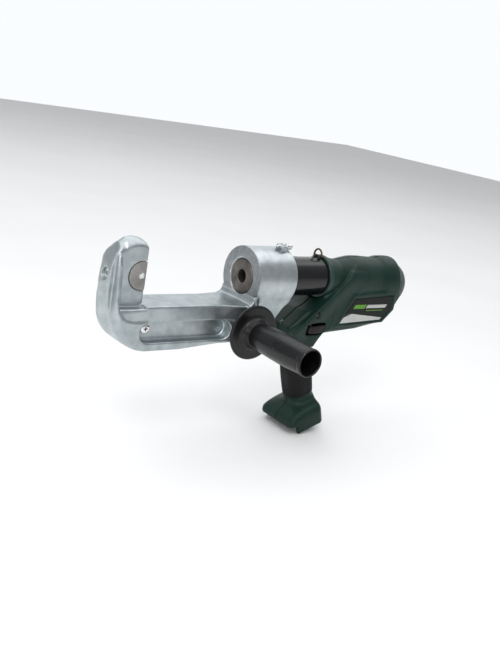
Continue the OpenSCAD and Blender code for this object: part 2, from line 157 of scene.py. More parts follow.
def bumped(t, bsdf, layers):
    """layers: (height socket, depth in mm) from coarse to fine."""
    last = None
    for height, depth in layers:
        b = t.nodes.new("ShaderNodeBump")
        b.inputs["Strength"].default_value = 1.0
        b.inputs["Distance"].default_value = depth * MM
        t.links.new(height, b.inputs["Height"])
        if last:
            t.links.new(last, b.inputs["Normal"])
        last = b.outputs["Normal"]
    t.links.new(last, bsdf.inputs["Normal"])


def metal(name, dark, light, rough=(0.3, 0.45), grain=None, cast=0.0, metallic=1.0, scale=60):
    """Metal with slow tone changes, a grain along the stretched axis and, if cast, soft lumps."""
    m, t, bsdf, at = new_material(name, light, metallic, rough[0])
    tone = noise(t, at, scale, 5, 0.6)
    t.links.new(two_colors(t, tone, dark, light), bsdf.inputs["Base Color"])
    fine = noise(t, at, 900, 3, 0.6, grain)
    smear = noise(t, at, scale * 2.3, 4, 0.6)
    t.links.new(ranged(t, maths(t, "ADD", maths(t, "MULTIPLY", smear, 0.6), maths(t, "MULTIPLY", fine, 0.4)),
                       *rough), bsdf.inputs["Roughness"])
    layers = [(fine, 0.02)]
    if cast:
        layers.insert(0, (noise(t, at, 260, 3, 0.5), cast))
        layers.insert(0, (noise(t, at, 45, 2, 0.4), cast * 3))
    bumped(t, bsdf, layers)
    return m


def plastic(name, dark, light, rough=(0.35, 0.5), texture=0.03, texture_scale=1400, coat=0.0,
            shine=0.4):
    """Moulded plastic: a spark-eroded texture, slow colour changes and rubbed spots."""
    m, t, bsdf, at = new_material(name, light, 0.0, rough[0], Coat_Weight=coat, Coat_Roughness=0.2,
                                  Specular_IOR_Level=shine)
    tone = noise(t, at, 30, 4, 0.55)
    t.links.new(two_colors(t, tone, dark, light), bsdf.inputs["Base Color"])
    rub = noise(t, at, 55, 6, 0.65)
    t.links.new(ranged(t, rub, *rough), bsdf.inputs["Roughness"])
    bumped(t, bsdf, [(noise(t, at, 70, 2, 0.4), texture * 1.5), (cells(t, at, texture_scale), texture)])
    return m


# ---------------------------------------------------------------- mesh tools

def make_mesh(name, points, faces, material, smooth=True, sharp=40):
    """points in mm. faces: an (n, 4) array of quads, or a list of index tuples."""
    mesh = bpy.data.meshes.new(name)
    points = np.asarray(points, np.float32) * MM
    if isinstance(faces, np.ndarray):
        n = len(faces)
        mesh.vertices.add(len(points))
        mesh.vertices.foreach_set("co", points.ravel())
        mesh.loops.add(n * 4)
        mesh.loops.foreach_set("vertex_index", faces.astype(np.int32).ravel())
        mesh.polygons.add(n)
        mesh.polygons.foreach_set("loop_start", np.arange(n, dtype=np.int32) * 4)
    else:
        mesh.from_pydata([tuple(p) for p in points.tolist()], [], faces)
    mesh.update(calc_edges=True)
    mesh.validate()
    mesh.polygons.foreach_set("use_smooth", [smooth] * len(mesh.polygons))
    if smooth and sharp:
        mesh.set_sharp_from_angle(angle=math.radians(sharp))
    mesh.materials.append(material)
    o = bpy.data.objects.new(name, mesh)
    bpy.context.scene.collection.objects.link(o)
    return o


def place(o, body, slot, *replaced):
    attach(o, body)
    if replaced:
        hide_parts(*replaced)
    return o


def softened(profile, radius, steps=4):
    """A profile of (r, x) points with its corners rounded. radius: one for all, or one for each point."""
    out = []
    n = len(profile)
    radii = [radius] * n if isinstance(radius, (int, float)) else radius
    for i, p in enumerate(profile):
        p = Vector(p)
        if radii[i] <= 0 or i in (0, n - 1):
            out.append(tuple(p))
            continue
        a, b = Vector(profile[i - 1]), Vector(profile[i + 1])
        u, v = (a - p), (b - p)
        cut = min(radii[i], u.length * 0.45, v.length * 0.45)
        start, end = p + u.normalized() * cut, p + v.normalized() * cut
        for k in range(steps + 1):
            s = k / steps
            out.append(tuple(start * (1 - s) ** 2 + p * 2 * s * (1 - s) + end * s ** 2))
    return out


def turned(name, profile, material, centre=(0, 0, 0), axis="X", around=112, sharp=35):
    """A closed turned piece: profile is (radius, distance along the axis), from axis to axis or as a ring."""
    ring = profile[0][0] > 1e-6
    points, faces = [], []
    rows = []
    for r, x in profile:
        if r <= 1e-6:
            rows.append([len(points)])
            points.append((0, 0, x))
            continue
        rows.append(list(range(len(points), len(points) + around)))
        for k in range(around):
            w = 2 * math.pi * k / around
            points.append((r * math.cos(w), r * math.sin(w), x))
    pairs = list(zip(rows, rows[1:])) + ([(rows[-1], rows[0])] if ring else [])
    for a, b in pairs:
        for k in range(around):
            k2 = (k + 1) % around
            if len(a) == 1 and len(b) == 1:
                continue
            if len(a) == 1:
                faces.append((a[0], b[k2], b[k]))
            elif len(b) == 1:
                faces.append((a[k], a[k2], b[0]))
            else:
                faces.append((a[k], a[k2], b[k2], b[k]))
    p = np.array(points)
    if axis == "X":
        p = p[:, [2, 0, 1]]
    elif axis == "-Y":
        p = np.stack([p[:, 1], -p[:, 2], p[:, 0]], 1)
    o = make_mesh(name, p + np.array(centre), faces, material, sharp=sharp)
    outward(o)
    return o


def outward(o):
    """Turns every face's normal to the outside."""
    import bmesh
    bm = bmesh.new()
    bm.from_mesh(o.data)
    bmesh.ops.recalc_face_normals(bm, faces=bm.faces)
    bm.to_mesh(o.data)
    bm.free()


def swept(name, path, radius, material, around=14, closed=False):
    """A round bar along a path."""
    pts = [Vector(p) for p in path]
    n = len(pts)
    points, faces = [], []
    side = None
    for i, p in enumerate(pts):
        a = pts[i - 1] if (i or closed) else p
        b = pts[(i + 1) % n] if (i < n - 1 or closed) else p
        along = (b - a).normalized()
        if side is None:
            side = along.orthogonal().normalized()
        side = (side - along * side.dot(along)).normalized()
        up = along.cross(side)
        for k in range(around):
            w = 2 * math.pi * k / around
            points.append(p + (side * math.cos(w) + up * math.sin(w)) * radius)
    for i in range(n if closed else n - 1):
        j = (i + 1) % n
        for k in range(around):
            k2 = (k + 1) % around
            faces.append((i * around + k, i * around + k2, j * around + k2, j * around + k))
    if not closed:
        faces.append(tuple(reversed(range(around))))
        faces.append(tuple(range((n - 1) * around, n * around)))
    o = make_mesh(name, [tuple(p) for p in points], faces, material, sharp=50)
    outward(o)
    return o


def prism(name, outline, low, high, material, bevel=0.6, to_world=None, segments=3):
    """An outline of (x, z) points, extruded along Y, with bevelled edges."""
    n = len(outline)
    points = [(x, low, z) for x, z in outline] + [(x, high, z) for x, z in outline]
    faces = [tuple(range(n)), tuple(reversed(range(n, 2 * n)))]
    faces += [(i, i + n, (i + 1) % n + n, (i + 1) % n) for i in range(n)]
    if to_world:
        points = [to_world(*p) for p in points]
    o = make_mesh(name, points, faces, material, smooth=True, sharp=None)
    outward(o)
    if bevel:
        modifier = o.modifiers.new("edge", "BEVEL")
        modifier.width = bevel * MM
        modifier.segments = segments
        modifier.limit_method = "ANGLE"
        modifier.angle_limit = math.radians(30)
        modifier.harden_normals = True
        apply_modifiers(o)
    return o


def apply_modifiers(o):
    graph = bpy.context.evaluated_depsgraph_get()
    mesh = bpy.data.meshes.new_from_object(o.evaluated_get(graph))
    old = o.data
    o.modifiers.clear()
    o.data = mesh
    bpy.data.meshes.remove(old)


def joined(name, parts):
    """One object from several."""
    points, faces, slots = [], [], []
    materials = []
    for o in parts:
        base = len(points)
        points += [tuple(v.co / MM) for v in o.data.vertices]
        material = o.data.materials[0]
        if material not in materials:
            materials.append(material)
        for f in o.data.polygons:
            faces.append(tuple(i + base for i in f.vertices))
            slots.append(materials.index(material))
        mesh = o.data
        bpy.data.objects.remove(o)
        bpy.data.meshes.remove(mesh)
    whole = make_mesh(name, points, faces, materials[0], sharp=38)
    for material in materials[1:]:
        whole.data.materials.append(material)
    whole.data.polygons.foreach_set("material_index", slots)
    return whole


# ---------------------------------------------------------------- distance fields

def arc(centre, radius, start, end, n=12):
    return [(centre[0] + radius * math.cos(math.radians(start + (end - start) * i / n)),
             centre[1] + radius * math.sin(math.radians(start + (end - start) * i / n)))
            for i in range(n + 1)]


def outline_distance(points, x, z):
    """Signed distance from (x, z) to a closed outline, negative inside."""
    x, z = np.broadcast_arrays(x, z)
    best = np.full(x.shape, 1e9)
    inside = np.zeros(x.shape, bool)
    n = len(points)
    for i in range(n):
        (ax, az), (bx, bz) = points[i], points[(i + 1) % n]
        ex, ez = bx - ax, bz - az
        length = ex * ex + ez * ez
        if length < 1e-12:
            continue
        s = np.clip(((x - ax) * ex + (z - az) * ez) / length, 0, 1)
        best = np.minimum(best, (x - ax - s * ex) ** 2 + (z - az - s * ez) ** 2)
        if az != bz:
            crosses = (az > z) != (bz > z)
            inside ^= crosses & (x < ax + (z - az) * ex / ez)
    return np.where(inside, -1, 1) * np.sqrt(best)


def capped(d, t, r):
    """A slab of distance t through a shape of distance d, with its edges rounded to r."""
    a, b = d + r, t + r
    return np.hypot(np.maximum(a, 0), np.maximum(b, 0)) + np.minimum(np.maximum(a, b), 0) - r


def blend(a, b, k):
    """Union with a fillet."""
    h = np.maximum(k - np.abs(a - b), 0) / k
    return np.minimum(a, b) - h * h * k / 4


def carve(a, b, k):
    """a without b, with rounded edges."""
    return -blend(-a, b, k)


def box_distance(x, y, z, low, high, r=0.0):
    centre = [(a + b) / 2 for a, b in zip(low, high)]
    half = [(b - a) / 2 - r for a, b in zip(low, high)]
    q = [np.abs(v - c) - h for v, c, h in zip((x, y, z), centre, half)]
    out = np.sqrt(np.maximum(q[0], 0) ** 2 + np.maximum(q[1], 0) ** 2 + np.maximum(q[2], 0) ** 2)
    return out + np.minimum(np.maximum(np.maximum(q[0], q[1]), q[2]), 0) - r


def skin(name, field, low, high, step, material, sharp=None):
    """The surface where field(x, y, z) is zero, as a mesh of quads."""
    axes = [np.arange(a, b + step, step) for a, b in zip(low, high)]
    x, y, z = axes[0][:, None, None], axes[1][None, :, None], axes[2][None, None, :]
    v = field(x, y, z).astype(np.float32)
    v[v == 0] = 1e-6
    inside = v < 0
    count = np.zeros(tuple(s - 1 for s in v.shape), np.int8)
    corners = [(i, j, k) for i in (0, 1) for j in (0, 1) for k in (0, 1)]
    shape = count.shape

    def corner(a, c):
        return a[c[0]:c[0] + shape[0], c[1]:c[1] + shape[1], c[2]:c[2] + shape[2]]

    for c in corners:
        count += corner(inside, c)
    active = (count > 0) & (count < 8)
    cell = np.argwhere(active)
    index = np.full(shape, -1, np.int64)
    index[active] = np.arange(len(cell))
    total, hits = np.zeros((len(cell), 3)), np.zeros(len(cell))
    for a in corners:
        for d in range(3):
            if a[d]:
                continue
            b = tuple(1 if i == d else a[i] for i in range(3))
            va, vb = [v[cell[:, 0] + c[0], cell[:, 1] + c[1], cell[:, 2] + c[2]] for c in (a, b)]
            cross = (va < 0) != (vb < 0)
            s = np.where(cross, va / np.where(cross, va - vb, 1), 0)
            p = np.array(a, float)[None, :].repeat(len(cell), 0)
            p[:, d] += s
            total += p * cross[:, None]
            hits += cross
    points = (cell + total / hits[:, None]) * step + np.array([a[0] for a in axes])
    quads = []
    for d in range(3):
        e, f = [(1, 2), (2, 0), (0, 1)][d]
        lower = [slice(1, s - 1) for s in v.shape]
        lower[d] = slice(0, v.shape[d] - 1)
        upper = list(lower)
        upper[d] = slice(1, v.shape[d])
        start, end = inside[tuple(lower)], inside[tuple(upper)]
        for first, flip in ((True, False), (False, True)):
            at = np.argwhere((start == first) & (end != first))
            for axis in (e, f):
                at[:, axis] += 1
            loop = []
            for de, df in ((1, 1), (0, 1), (0, 0), (1, 0)):
                c = at.copy()
                c[:, e] -= de
                c[:, f] -= df
                loop.append(index[c[:, 0], c[:, 1], c[:, 2]])
            q = np.stack(loop, 1)
            quads.append(q[:, ::-1] if flip else q)
    return make_mesh(name, points, np.concatenate(quads), material, sharp=sharp)


def mirrored(o, name):
    """A copy of o on the other side of the XZ plane."""
    mesh = o.data.copy()
    mesh.name = name
    mesh.transform(Matrix.Scale(-1, 4, (0, 1, 0)))
    mesh.flip_normals()
    copy = bpy.data.objects.new(name, mesh)
    bpy.context.scene.collection.objects.link(copy)
    return copy


# ---------------------------------------------------------------- finishes

ZINC = metal("zinc_forging", (0.34, 0.385, 0.40), (0.47, 0.515, 0.53), rough=(0.30, 0.44), cast=0.05,
             metallic=0.92)
HEAD_SIDE = metal("zinc_turned", (0.40, 0.445, 0.46), (0.53, 0.57, 0.585), rough=(0.26, 0.40), cast=0.02,
                  grain=(0.15, 1, 1), metallic=0.92)
RAM_STEEL = metal("hardened_steel", (0.085, 0.076, 0.070), (0.17, 0.155, 0.145), rough=(0.34, 0.5),
                  metallic=0.85)
ANVIL_STEEL = metal("anvil_steel", (0.25, 0.24, 0.23), (0.37, 0.36, 0.35), rough=(0.34, 0.48), metallic=0.88)
BRIGHT = metal("bright_screw", (0.62, 0.63, 0.63), (0.82, 0.82, 0.81), rough=(0.16, 0.28))
DARK = metal("blackened_steel", (0.035, 0.034, 0.033), (0.07, 0.066, 0.062), rough=(0.35, 0.5), metallic=0.8)
BRONZE = metal("dark_bronze_wire", (0.07, 0.05, 0.03), (0.15, 0.11, 0.07), rough=(0.35, 0.5))
SPRING = metal("spring_steel", (0.30, 0.30, 0.30), (0.42, 0.42, 0.41), rough=(0.25, 0.4))
PUMP = metal("machined_steel", (0.40, 0.40, 0.39), (0.56, 0.55, 0.54), rough=(0.25, 0.4), grain=(0.1, 1, 1))
GLOSS = plastic("black_coat", (0.0022, 0.0022, 0.003), (0.004, 0.004, 0.005), rough=(0.16, 0.26),
                texture=0.006,
                texture_scale=500, coat=0.1, shine=0.35)
GREEN = plastic("green_housing", (0.0045, 0.020, 0.0145), (0.0075, 0.029, 0.0215), rough=(0.34, 0.48),
                texture=0.022,
                shine=0.24)
COLLAR = plastic("green_collar", (0.010, 0.032, 0.025), (0.017, 0.046, 0.037), rough=(0.32, 0.42),
                 texture=0.015,
                 shine=0.4)
HANDLE = plastic("black_handle", (0.0035, 0.0035, 0.0042), (0.006, 0.006, 0.0068), rough=(0.24, 0.38),
                 texture=0.03,
                 texture_scale=1100, shine=0.36)
RUBBER = plastic("grip_rubber", (0.0045, 0.005, 0.0045), (0.0085, 0.0088, 0.008), rough=(0.55, 0.72),
                 texture=0.09,
                 texture_scale=620, shine=0.22)
BLACK = plastic("black_plastic", (0.005, 0.005, 0.005), (0.009, 0.009, 0.010), rough=(0.38, 0.52), shine=0.25)
LEVER = plastic("lever_plastic", (0.010, 0.0065, 0.006), (0.018, 0.012, 0.011), rough=(0.4, 0.55), shine=0.25)
SEAL = plastic("seal_rubber", (0.008, 0.008, 0.008), (0.014, 0.013, 0.013), rough=(0.5, 0.65), texture=0.04)
FAN = plastic("fan_plastic", (0.02, 0.02, 0.02), (0.03, 0.03, 0.03))
BOARD = plastic("circuit_board", (0.010, 0.075, 0.035), (0.016, 0.10, 0.05), rough=(0.25, 0.4), texture=0.01)


def shaded_machined_face():
    """Grey faced steel with turning marks round the ram's axis, set darker than the turned side: painted
    shade on the face and in the bore.
    """
    m, t, bsdf, at = new_material("faced_steel_painted_shade", (0.4, 0.42, 0.43), 0.85, 0.42)
    split = t.nodes.new("ShaderNodeSeparateXYZ")
    t.links.new(at, split.inputs[0])
    square = maths(t, "ADD", maths(t, "POWER", split.outputs[1], 2.0),
                   maths(t, "POWER", split.outputs[2], 2.0))
    radius = maths(t, "SQRT", square)
    rings = maths(t, "SINE", maths(t, "MULTIPLY", radius, 9000.0))
    worn = noise(t, at, 130, 5, 0.65)
    # painted shade: the face's grey is darker than the turned side's grey
    t.links.new(two_colors(t, worn, (0.21, 0.23, 0.24), (0.31, 0.33, 0.34)), bsdf.inputs["Base Color"])
    t.links.new(ranged(t, noise(t, at, 700, 3, 0.6), 0.34, 0.5), bsdf.inputs["Roughness"])
    bumped(t, bsdf, [(worn, 0.03), (rings, 0.006)])
    return m


def lens():
    m, t, bsdf, at = new_material("lamp_lens", (0.02, 0.022, 0.025), 0.0, 0.12, Coat_Weight=0.4)
    t.links.new(two_colors(t, cells(t, at, 700), (0.006, 0.007, 0.008), (0.035, 0.038, 0.042), 0.1, 0.6),
                bsdf.inputs["Base Color"])
    bumped(t, bsdf, [(cells(t, at, 700), 0.1)])
    return m


def label_film():
    """Dark film with plain bands: a pale lower corner, a green bar and two thin rules, with no lettering."""
    m, t, bsdf, at = new_material("label_film", (0.004, 0.006, 0.0055), 0.0, 0.3, Coat_Weight=0.05,
                                  Specular_IOR_Level=0.2)
    split = t.nodes.new("ShaderNodeSeparateXYZ")
    t.links.new(at, split.inputs[0])
    x, z = split.outputs[0], split.outputs[2]

    def below(value, limit):
        return maths(t, "LESS_THAN", value, limit)

    def within(value, low, high):
        return maths(t, "MULTIPLY", maths(t, "GREATER_THAN", value, low), below(value, high))

    def paint(under, mask, color):
        rgb = t.nodes.new("ShaderNodeRGB")
        rgb.outputs[0].default_value = (*color, 1)
        return mixed(t, mask, under, rgb.outputs[0])

    film = two_colors(t, noise(t, at, 180, 4, 0.6), (0.002, 0.0035, 0.003), (0.0045, 0.006, 0.0055))
    corner = below(maths(t, "ADD", z, maths(t, "MULTIPLY", x, 0.115)), -0.0262)
    slope = maths(t, "ADD", z, maths(t, "MULTIPLY", x, -0.36))
    triangle = maths(t, "MULTIPLY", corner, below(slope, -0.1155))
    film = paint(film, triangle, (0.50, 0.51, 0.49))
    grey = maths(t, "MULTIPLY", corner, within(slope, -0.1155, -0.1125))
    film = paint(film, grey, (0.05, 0.055, 0.05))
    lean = maths(t, "ADD", x, maths(t, "MULTIPLY", z, -0.6))
    bar = maths(t, "MULTIPLY", within(lean, 0.2130, 0.2360), within(z, -0.0405, -0.0345))
    film = paint(film, bar, (0.10, 0.28, 0.03))
    pale = maths(t, "MULTIPLY", within(lean, 0.2385, 0.2790), within(z, -0.0400, -0.0350))
    film = paint(film, pale, (0.46, 0.47, 0.45))
    rule = maths(t, "MULTIPLY", within(lean, 0.2420, 0.2770), within(z, -0.0440, -0.0430))
    film = paint(film, rule, (0.12, 0.30, 0.05))
    t.links.new(film, bsdf.inputs["Base Color"])
    t.links.new(ranged(t, noise(t, at, 90, 5, 0.6), 0.22, 0.36), bsdf.inputs["Roughness"])
    bumped(t, bsdf, [(noise(t, at, 300, 3, 0.5), 0.01)])
    return m


SHADED_FACE = shaded_machined_face()
LENS = lens()
LABEL = label_film()

# ---------------------------------------------------------------- C-frame

HEAD_LEN = span("c_frame", 0)[1]
HEAD_R = 40.0
THROAT_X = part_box("anvil")[1][0] / MM
ANVIL_X = THROAT_X - 5
ANVIL_Z = sum(span("anvil", 2)) / 2
ARM_TOP = -31.0
FRAME_HW = 28.0
HANDLE_X = sum(span("handle_tube", 0)) / 2
HANDLE_Z = sum(span("handle_tube", 2)) / 2
SCREW_AT = (sum(span("pocket_screws", 0)) / 2, sum(span("pocket_screws", 2)) / 2)

underside = arc((-151, -42), 45, 228, 270, 8) + [(-100, -87), (-20, -80), (18, -74), (44, -57), (63, -30),
                                                  (63, -18), (4, -18), (4, ARM_TOP)]
jaw_back = [(-160, 46.6), (-166, 48.2), (-173, 49.0), (-182, 47.2), (-190, 41), (-196, 30.4), (-200, 17.8),
            (-202.2, 6),
            (-203, -6), (-202.4, -20), (-200, -35), (-196, -50), (-190.5, -62), (-183, -73)]
web = [(THROAT_X, ARM_TOP - 3), (THROAT_X, 42.2)] + jaw_back + underside
flange = ([(-155, ARM_TOP), (-155, ARM_TOP - 3), (-190, ARM_TOP - 3), (-190, 34), (-194, 32), (-196, 22)]
          + arc((-151, -42), 45, 180, 225, 8) + underside)
band = [(-191, -30), (-190, -37), (-186, -43), (-179, -47.5), (-168, -49.3), (-30, -49.3), (2, -52), (8, -40),
        (8, -20),
        (-100, -20)]


def frame_field(x, y, z):
    side = np.abs(y)
    broad = np.clip((x + 48) / 40, 0, 1)
    half = FRAME_HW + 6.5 * broad * broad * (3 - 2 * broad) * np.clip((30 - x) / 25, 0, 1)
    corner_round = 1.6 + 7.0 * np.clip((-150 - x) / 26, 0, 1) * np.clip((-26 - z) / 20, 0, 1)
    # the jaw's flange narrows to its top, and the web's top is arched
    jaw_half = np.interp(z, [-46, -32, -20, 0, 18, 27, 33], [28.0, 26.6, 24.4, 22.8, 21.2, 17.5, 12.0])
    half = half - (FRAME_HW - jaw_half) * np.clip((-170 - x) / 14, 0, 1)
    arch = (np.interp(x, [-196, -190, -184.7, -167.7, -155.8], [0, 6.5, 11.4, 8.2, 5.0])
            * np.clip(y * y / 156, 0, 1.3) * np.clip((z - 14) / 18, 0, 1))
    d = blend(capped(outline_distance(web, x, z + arch), side - 12.5, 1.3),
              capped(outline_distance(flange, x, z), side - half, corner_round), 1.2)
    # shallow band under the arm's top
    d = carve(d, capped(outline_distance(band, x, z), half - 1.3 - side, 0.3), 2.5)
    # cylinder of the head, just inside the turned shell, and the cove in front of it
    cylinder = np.maximum(np.sqrt(y * y + z * z) - HEAD_R, np.abs(x - HEAD_LEN / 2) - HEAD_LEN / 2 + 0.5)
    d = blend(d, cylinder, 2.5 + 5.5 * np.clip((x - 4) / 10, 0, 1))
    cove_outline = [(3, -34), (3, -20), (-1, -20)] + arc((-9, -23), 8, 0, -90, 8) + [(-9, -34)]
    cove = capped(outline_distance(cove_outline, x, z), side - 36.4, 1.0)
    d = blend(d, cove, 1.5)
    boss = np.maximum(np.hypot(x - HANDLE_X, z - HANDLE_Z) - 17, side - 44.6)
    d = blend(d, boss, 5)
    # side pockets with a wide fillet at the floor
    pocket = outline_distance(arc((-40, -63.5), 13, -90, 90) + arc((-147, -63.5), 13, 90, 270), x, z)
    d = carve(d, capped(pocket, FRAME_HW - 12 - side, 4.0), 1.8)
    d = carve(d, np.maximum(np.hypot(x - SCREW_AT[0], z - SCREW_AT[1]) - 7.4, FRAME_HW - 12 - side), 0.8)
    # ram bore and cylinder space
    rho = np.sqrt(y * y + z * z)
    d = np.maximum(d, -np.maximum(rho - 23.6, np.abs(x - 5) - 12))
    d = np.maximum(d, -np.maximum(rho - 31.4, 13 - x))
    d = np.maximum(d, -np.maximum(rho - 36.8, 54 - x))
    # anvil's seat, with the bolt's counterbore behind it
    seat = np.maximum(np.hypot(x - ANVIL_X, z - ANVIL_Z) - 17.9, side - 14)
    d = carve(d, seat, 0.8)
    d = carve(d, np.maximum(np.hypot(y, z - ANVIL_Z) - 7.3, x + 192), 1.0)
    # side handle's holes
    d = np.maximum(d, -np.maximum(np.hypot(x - HANDLE_X, z - HANDLE_Z) - 6, 24 - side))
    return d


forging = skin("frame_forging", frame_field, (-206, -46.5, -89), (66, 46.5, 49), 1.15, ZINC)
place(forging, "head", "frame_steel", "c_frame")

shell = turned("head_shell", softened([(23.06, 12.9), (23.06, 2.2), (25.4, 0.0), (HEAD_R - 0.2, 0.0),
                                       (HEAD_R + 0.1, 1.2), (HEAD_R + 0.1, HEAD_LEN - 1.2),
                                       (HEAD_R - 1, HEAD_LEN),
                                       (36.52, HEAD_LEN), (36.52, 54.4), (31.1, 54.4), (31.1, 13.1)],
                                      [0, 0.3, 0.3, 0.6, 0.6, 0.8, 0.8, 0.3, 0, 0, 0]), HEAD_SIDE, around=160)
shell.data.materials.append(SHADED_FACE)
shell.data.materials.append(BRIGHT)
# painted highlight: the chamfer at the bore's mouth takes the bright screw metal; the face and the bore take
# the darker faced steel, painted shade
for f in shell.data.polygons:
    reach = math.hypot(f.center.y, f.center.z) / MM
    if reach < 25.3 and 0.1 * MM < f.center.x < 2.2 * MM:
        f.material_index = 2
    elif f.center.x < 0.9 * MM or (f.center.x < 13.5 * MM and reach < 30):
        f.material_index = 1
place(shell, "head", "frame_steel", "c_frame")

ring_nut = turned("head_ring_nut", softened([(27.4, 54.5), (27.4, 63.2), (28.2, 63.9), (35.4, 63.9),
                                             (36.45, 62.9),
                                             (36.45, 54.5)], [0, 0.3, 0.3, 0.3, 0.3, 0]), PUMP, around=128)
place(ring_nut, "head", slot_of_node["head_ring"], "head_ring")


def socket_screw(name, at, radius, length, material, hexagon=None, dome=0.0, cross=None):
    """A screw facing -Y whose head's outer face lies at `at`, with a hexagon or cross recess drawn as painted
    shade: a thin blackened-steel prism standing proud of the head, not a cut.
    """
    parts = [turned(name + "_head", softened([(0, length), (radius, length), (radius, 0.5), (radius - 0.5, 0),
                                              (radius * 0.55, -dome), (0, -dome * 1.15)],
                                             [0, 0, 0.3, 0.3, 0.5, 0]), material, centre=at, axis="-Y",
                    around=48)]
    for p in parts:
        p.data.transform(Matrix.Translation(Vector(at) * MM) @ Matrix.Scale(-1, 4, (0, 1, 0))
                         @ Matrix.Translation(Vector(at) * -MM))
        outward(p)
    # painted shade: the recess's hole is stood in for by a blackened-steel prism
    dark = DARK
    if hexagon:
        outline = [(at[0] + hexagon * math.cos(math.radians(a)), at[2] + hexagon * math.sin(math.radians(a)))
                   for a in range(0, 360, 60)]
        parts.append(prism(name + "_recess", outline, at[1] - dome * 1.15 - 0.12, at[1] + 1, dark,
                           bevel=0.15))
    if cross:
        for w, h in ((cross, cross * 0.22), (cross * 0.22, cross)):
            outline = [(at[0] - w, at[2] - h), (at[0] + w, at[2] - h), (at[0] + w, at[2] + h),
                       (at[0] - w, at[2] + h)]
            parts.append(prism(name + "_slot", outline, at[1] - dome * 1.15 - 0.12, at[1] + 1, dark,
                               bevel=0.15))
    return joined(name, parts)


dome = [(6.6 * math.sin(a), 20.6 + 1.9 * math.cos(a)) for a in np.linspace(math.pi / 2, 0.12, 9)]
pocket_parts = [turned("screw_dome", [(0, 16.2), (6.6, 16.2)] + dome + [(0, 22.5)], BRIGHT,
                       centre=(SCREW_AT[0], 0, SCREW_AT[1]), axis="-Y", around=56, sharp=50)]
# painted shade: the cross slot is not cut, but drawn as a thin blackened-steel cross standing proud of the
# bright dome
for w, h in ((2.9, 0.8), (0.8, 2.9)):
    outline = [(SCREW_AT[0] + a * w, SCREW_AT[1] + b * h) for a, b in ((-1, -1), (1, -1), (1, 1), (-1, 1))]
    pocket_parts.append(prism("slot", outline, -22.6, -20, DARK, bevel=0.2))
pocket_near = joined("pocket_screw_left", pocket_parts)
place(pocket_near, "head", "bright_screw", "pocket_screws")
place(mirrored(pocket_near, "pocket_screw_right"), "head", "bright_screw", "pocket_screws")

PLUNGER_TURN = Matrix.Rotation(math.radians(13), 4, "X")
plunger_z = 44.4
knob = joined("plunger_knob", [
    turned("knob", softened([(0, 57.4), (3.3, 57.4)] + [p for i in range(4) for p in (
        (3.2, 57.8 + 2.4 * i), (3.95, 58.1 + 2.4 * i), (3.95, 59.4 + 2.4 * i), (3.2, 59.8 + 2.4 * i))]
        + [(0, 67.0)], 0.2), BRIGHT, centre=(0, 0, plunger_z), around=64),
    turned("knob_end", softened([(0, 66.6), (3.6, 66.6), (3.6, 67.2), (2.9, 67.45), (0, 67.5)], 0.2), DARK,
           centre=(0, 0, plunger_z), around=64)])
pin = turned("plunger_pin", softened([(0, 43), (1.6, 43), (2.1, 43.8), (2.1, 58), (0, 58)], 0.3), BRIGHT,
             centre=(0, 0, plunger_z), around=32)
seat_outline = [(47, 37), (47, 45.6), (48.6, 47), (55.4, 47), (57, 45.6), (57, 37)]
plunger_seat = prism("plunger_seat", seat_outline, -6.5, 6.5, ZINC, bevel=1.0)
for o in (knob, pin, plunger_seat):
    o.data.transform(PLUNGER_TURN)
place(knob, "head", "dark_steel", "lock_plunger")
place(pin, "head", "dark_steel", "lock_plunger")
place(plunger_seat, "head", "frame_steel", "c_frame")

set_near = socket_screw("head_set_screw_left", (59, -39.3, -2), 2.5, 3.6, DARK, hexagon=1.3)
place(set_near, "head", "dark_steel", "set_screws")
place(mirrored(set_near, "head_set_screw_right"), "head", "dark_steel", "set_screws")

# ---------------------------------------------------------------- ram

place(turned("ram_body", softened([(0, 24), (8.6, 24), (8.6, 1.1), (9.6, 0.05), (22.0, 0.05), (22.98, 1.1),
                                   (22.98, 88), (15, 88), (15, 32), (0, 32)],
                                  [0, 0.4, 0.2, 0.2, 0.2, 0.2, 0.2, 0, 0, 0]), RAM_STEEL, around=144),
      "ram", "dark_steel", "ram")

# ---------------------------------------------------------------- side handle

HANDLE_END = -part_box("handle_tube")[0][1] / MM
place(turned("guard_disc", softened([(0, 45), (15, 45), (34, 46.5), (36.5, 47.6), (36.5, 49.6), (34.4, 51.1),
                                     (24, 51), (20.4, 53), (18.4, 57), (17.2, 61.6), (0, 61.6)],
                                    [0, 1, 2, 1.2, 1.2, 1.5, 4, 3, 3, 0.6, 0]), HANDLE,
             centre=(HANDLE_X, 0, HANDLE_Z), axis="-Y", around=144), "head", "handle_plastic", "handle_guard")
place(turned("handle_grip", softened([(0, 61.5), (16.7, 61.5), (17.2, 68), (18.2, 80), (18.9, 95),
                                      (19.0, 112),
                                      (18.7, 128), (18.1, 143), (17.7, HANDLE_END - 9),
                                      (17.3, HANDLE_END - 6.4),
                                      (17.5, HANDLE_END - 5.2), (18.2, HANDLE_END - 4.2),
                                      (18.2, HANDLE_END - 1.2),
                                      (17.3, HANDLE_END), (16.5, HANDLE_END), (15.6, HANDLE_END - 1.5),
                                      (14.0, HANDLE_END - 20), (13.4, HANDLE_END - 26), (13.4, 78.4),
                                      (12.4, 78),
                                      (0, 78)],
                                     [0, 0.8, 3, 5, 8, 8, 8, 8, 1, 0.6, 0.6, 0.6, 0.8, 0.5, 0.4, 0.5, 3, 3,
                                      0.6,
                                      0.6, 0]), HANDLE,
             centre=(HANDLE_X, 0, HANDLE_Z), axis="-Y", around=128), "head", "handle_plastic", "handle_tube")

# ---------------------------------------------------------------- barrel, collar and hanging ring

